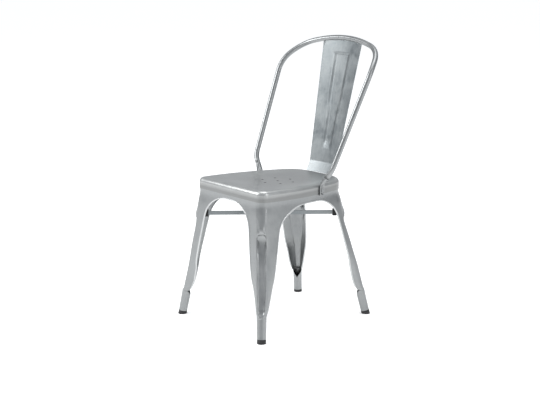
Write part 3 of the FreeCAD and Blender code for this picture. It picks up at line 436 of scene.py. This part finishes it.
def grown(item, tree, values, name):
    """Run a node tree on an object and keep the result as a plain mesh object."""
    modifier = item.modifiers.new("nodes", "NODES")
    modifier.node_group = tree
    for socket in tree.interface.items_tree:
        if socket.in_out == "INPUT" and socket.name in values:
            modifier[socket.identifier] = values[socket.name]
    item.update_tag()
    graph = bpy.context.evaluated_depsgraph_get()
    mesh = bpy.data.meshes.new_from_object(item.evaluated_get(graph), depsgraph=graph)
    item.modifiers.remove(modifier)
    bpy.data.objects.remove(item)
    mesh.name = name
    result = bpy.data.objects.new(name, mesh)
    bpy.context.scene.collection.objects.link(result)
    return result


class ChairFinish(bpy.types.PropertyGroup):
    """Colours and gloss of the chair's surfaces."""

    seat_light: FloatVectorProperty(
        name="Seat, light", description="Lighter tone of the seat's zinc", subtype="COLOR",
        default=(0.54, 0.55, 0.54), min=0.0, max=1.0,
    )
    seat_dark: FloatVectorProperty(
        name="Seat, dark", description="Darker tone of the seat's zinc", subtype="COLOR",
        default=(0.42, 0.43, 0.43), min=0.0, max=1.0,
    )
    leg_light: FloatVectorProperty(
        name="Legs, light", description="Lighter tone of the legs' zinc", subtype="COLOR",
        default=(0.36, 0.37, 0.37), min=0.0, max=1.0,
    )
    leg_dark: FloatVectorProperty(
        name="Legs, dark", description="Darker tone of the legs' zinc", subtype="COLOR",
        default=(0.24, 0.25, 0.255), min=0.0, max=1.0,
    )
    splat_light: FloatVectorProperty(
        name="Splat, light", description="Lighter tone of the splat's zinc", subtype="COLOR",
        default=(0.33, 0.35, 0.355), min=0.0, max=1.0,
    )
    splat_dark: FloatVectorProperty(
        name="Splat, dark", description="Darker tone of the splat's zinc", subtype="COLOR",
        default=(0.17, 0.19, 0.20), min=0.0, max=1.0,
    )
    # Rolled edges: both tones are set lighter than the legs' sheet as a painted highlight
    edge_highlight_light: FloatVectorProperty(
        name="Edges, light", description="Lighter tone of the rolled edges", subtype="COLOR",
        default=(0.62, 0.63, 0.63), min=0.0, max=1.0,
    )
    edge_highlight_dark: FloatVectorProperty(
        name="Edges, dark", description="Darker tone of the rolled edges", subtype="COLOR",
        default=(0.48, 0.49, 0.49), min=0.0, max=1.0,
    )
    sheet_roughness: FloatProperty(
        name="Sheet gloss", description="Roughness of the pressed sheet", default=0.36, min=0.05, max=1.0
    )
    tube_roughness: FloatProperty(
        name="Tube gloss", description="Roughness of the bent tube", default=0.34, min=0.05, max=1.0
    )
    plastic: FloatVectorProperty(
        name="Plastic", description="Colour of caps and bumpers", subtype="COLOR",
        default=(0.012, 0.012, 0.013), min=0.0, max=1.0,
    )


class ChairEdges(bpy.types.PropertyGroup):
    """Rolled edges along the legs' arches and flanges."""

    radius: FloatProperty(
        name="Radius", description="Radius of the rolled edge",
        default=0.0024, min=0.001, unit="LENGTH",
    )
    step: FloatProperty(
        name="Step", description="Spacing of rings along the edge",
        default=0.004, min=0.001, unit="LENGTH",
    )
    ring_points: IntProperty(
        name="Ring points", description="Points round the edge", default=14, min=6, max=48
    )
    low: FloatProperty(
        name="Low end", description="Height where the edges end at the round feet",
        default=0.081, unit="LENGTH",
    )
    high: FloatProperty(
        name="Limit", description="Height above which no edge is followed",
        default=0.394, unit="LENGTH",
    )
    seam: FloatProperty(
        name="Seam", description="Where front and rear legs meet at the sides",
        default=-0.0141, unit="LENGTH",
    )


class ChairStage(bpy.types.PropertyGroup):
    """Camera, floor and lights."""

    azimuth: FloatProperty(
        name="Azimuth", description="Camera's turn round the chair",
        default=math.radians(50.9206), subtype="ANGLE",
    )
    pitch: FloatProperty(
        name="Pitch", description="Camera's downward tilt", default=math.radians(11.76), subtype="ANGLE"
    )
    place: FloatVectorProperty(
        name="Camera", description="Camera's place", subtype="TRANSLATION",
        default=(3.017926, -2.502217, 1.176413), unit="LENGTH",
    )
    lens: FloatProperty(
        name="Lens", description="Focal length", default=87.065, min=10.0, max=300.0
    )
    sky_strength: FloatProperty(
        name="Sky", description="Strength of the room's light", default=0.75, min=0.0
    )
    floor_glow: FloatProperty(
        name="Floor glow", description="Light given off by the floor", default=0.45, min=0.0
    )
    floor_reach: FloatProperty(
        name="Floor", description="Half width of the floor", default=40.0, min=5.0, unit="LENGTH"
    )
    floor_colour: FloatVectorProperty(
        name="Floor colour", description="Paint of the floor", subtype="COLOR",
        default=(0.93, 0.93, 0.93), min=0.0, max=1.0,
    )


class CHAIR_OT_sheet(bpy.types.Operator):
    """Dress the pressed sheet: seat, legs and splat"""

    bl_idname = "chair.sheet"
    bl_label = "Pressed sheet"

    def execute(self, context):
        finish = context.scene.chair_finish
        shine = finish.sheet_roughness
        duller = shine + 0.04
        # The seat's material carries painted shade on its skirt and in its drain holes
        seat = zinc_steel("seat_zinc", finish.seat_light, finish.seat_dark, shine, mottle=0.5, seat=True)
        legs = zinc_steel("leg_zinc", finish.leg_light, finish.leg_dark, shine, mottle=0.7)
        splat = zinc_steel("splat_zinc", finish.splat_light, finish.splat_dark, duller, mottle=1.0)
        dress(["seat_pan"], seat)
        dress(LEGS, legs)
        dress(["back_splat"], splat, SPLAT_CREASE)
        return {"FINISHED"}


class CHAIR_OT_edges(bpy.types.Operator):
    """Roll the free edges of the legs' sheet"""

    bl_idname = "chair.edges"
    bl_label = "Rolled edges"

    def execute(self, context):
        edges = context.scene.chair_edges
        finish = context.scene.chair_finish
        shine = finish.tube_roughness
        # The rolled edges' lighter tones are a painted highlight
        zinc = zinc_steel("edge_zinc", finish.edge_highlight_light, finish.edge_highlight_dark, shine, mottle=0.5)
        runs = []
        for node in LEGS:
            runs += leg_edge_runs(node, edges.seam, edges.low, edges.high)
        lines = add_runs("edge_lines", runs)
        values = {
            "Radius": edges.radius,
            "Step": edges.step,
            "Ring Points": edges.ring_points,
            "Material": zinc,
        }
        rolled = grown(lines, rolled_edge_tree("rolled_edge"), values, "rolled_edges")
        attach(rolled, BODY)
        return {"FINISHED"}


class CHAIR_OT_tube(bpy.types.Operator):
    """Dress the hoop, its rivets and the crossed braces"""

    bl_idname = "chair.tube"
    bl_label = "Hoop and braces"

    def execute(self, context):
        finish = context.scene.chair_finish
        shine = finish.tube_roughness
        duller = shine + 0.1
        hoop = zinc_steel("hoop_zinc", finish.leg_light, finish.leg_dark, shine, mottle=0.4)
        brace = zinc_steel("brace_zinc", finish.splat_light, finish.splat_dark, duller, mottle=0.6)
        dress(["back_hoop"], hoop, TUBE_CREASE)
        dress(RIVETS, hoop)
        dress(BRACES, brace)
        return {"FINISHED"}


class CHAIR_OT_plastic(bpy.types.Operator):
    """Dress the foot caps and stacking bumpers"""

    bl_idname = "chair.plastic"
    bl_label = "Caps and bumpers"

    def execute(self, context):
        plastic = moulded_plastic("black_moulding", context.scene.chair_finish.plastic)
        dress(CAPS + BUMPERS, plastic)
        return {"FINISHED"}


def studio_sky(tree, strength):
    """Soft room light: pale overhead and below, with greyer walls that the metal mirrors."""
    start = Sock(tree, 0.0)
    facing = start.node("ShaderNodeTexCoord", {}, {}, "Generated")
    height = facing.node("ShaderNodeSeparateXYZ", {}, {"Vector": facing}, "Z")
    wall = start.node("ShaderNodeValToRGB", {"stops": SKY_STOPS}, {"Fac": height * 0.5 + 0.5})
    tree.links.new(wall.value, tree.nodes["Background"].inputs["Color"])
    tree.nodes["Background"].inputs["Strength"].default_value = strength


def add_lamp(name, place, width, height, power):
    """Add an area light that faces the middle of the chair."""
    data = bpy.data.lights.new(name, "AREA")
    data.shape = "RECTANGLE"
    data.size = width
    data.size_y = height
    data.energy = power
    lamp = bpy.data.objects.new(name, data)
    lamp.location = place
    aim = Vector(LAMP_TARGET) - Vector(place)
    lamp.rotation_euler = aim.to_track_quat("-Z", "Y").to_euler()
    bpy.context.scene.collection.objects.link(lamp)


def lay_floor(scene, stage):
    """Lay one wide square of painted floor under the chair."""
    reach = stage.floor_reach
    mesh = bpy.data.meshes.new("floor")
    corners = [(-reach, -reach, 0.0), (reach, -reach, 0.0), (reach, reach, 0.0), (-reach, reach, 0.0)]
    mesh.from_pydata(corners, [], [(0, 1, 2, 3)])
    floor = bpy.data.objects.new("floor", mesh)
    scene.collection.objects.link(floor)
    mesh.materials.append(floor_paint("floor_paint", stage.floor_colour, stage.floor_glow))


def light_room(scene, stage):
    """Give the scene its sky and lamps."""
    world = bpy.data.worlds.new("studio")
    world.use_nodes = True
    studio_sky(world.node_tree, stage.sky_strength)
    scene.world = world
    scene.view_settings.view_transform = "Standard"
    for name, place, width, height, power in LAMPS:
        add_lamp(name, place, width, height, power)


def place_camera(scene, stage):
    """Set the camera where the chair was seen from."""
    turn, pitch = stage.azimuth, stage.pitch
    level = math.cos(pitch)
    right = Vector((math.cos(turn), math.sin(turn), 0.0))
    back = Vector((math.sin(turn) * level, -math.cos(turn) * level, math.sin(pitch)))
    up = back.cross(right)
    data = bpy.data.cameras.new("camera")
    data.lens = stage.lens
    data.clip_end = VIEW_LIMIT
    camera = bpy.data.objects.new("camera", data)
    axes = Matrix((right, up, back)).transposed().to_4x4()
    camera.matrix_world = Matrix.Translation(stage.place) @ axes
    scene.collection.objects.link(camera)
    scene.camera = camera


class CHAIR_OT_stage(bpy.types.Operator):
    """Lay the floor, set the lights and place the camera"""

    bl_idname = "chair.stage"
    bl_label = "Stage"

    def execute(self, context):
        scene = context.scene
        stage = scene.chair_stage
        lay_floor(scene, stage)
        light_room(scene, stage)
        place_camera(scene, stage)
        return {"FINISHED"}


class CHAIR_PT_panel(bpy.types.Panel):
    """The chair's operators"""

    bl_idname = "CHAIR_PT_panel"
    bl_label = "Side chair"
    bl_space_type = "VIEW_3D"
    bl_region_type = "UI"
    bl_category = "Chair"

    def draw(self, context):
        for operator in OPERATORS:
            self.layout.operator(operator.bl_idname)
        for group_name, group in GROUPS.items():
            for name in group.__annotations__:
                self.layout.prop(getattr(context.scene, group_name), name)


OPERATORS = (CHAIR_OT_sheet, CHAIR_OT_edges, CHAIR_OT_tube, CHAIR_OT_plastic, CHAIR_OT_stage)
GROUPS = {"chair_finish": ChairFinish, "chair_edges": ChairEdges, "chair_stage": ChairStage}


def register():
    """Register the classes and hang the settings on the scene."""
    for item in (*GROUPS.values(), *OPERATORS, CHAIR_PT_panel):
        bpy.utils.register_class(item)
    for name, group in GROUPS.items():
        setattr(bpy.types.Scene, name, PointerProperty(type=group))


def unregister():
    """Take the settings and classes away again."""
    for name in GROUPS:
        delattr(bpy.types.Scene, name)
    for item in (CHAIR_PT_panel, *reversed(OPERATORS), *reversed(GROUPS.values())):
        bpy.utils.unregister_class(item)


def main():
    """Build the look of the whole chair."""
    register()
    bpy.ops.chair.sheet()
    bpy.ops.chair.edges()
    bpy.ops.chair.tube()
    bpy.ops.chair.plastic()
    bpy.ops.chair.stage()


if __name__ == "__main__":
    main()
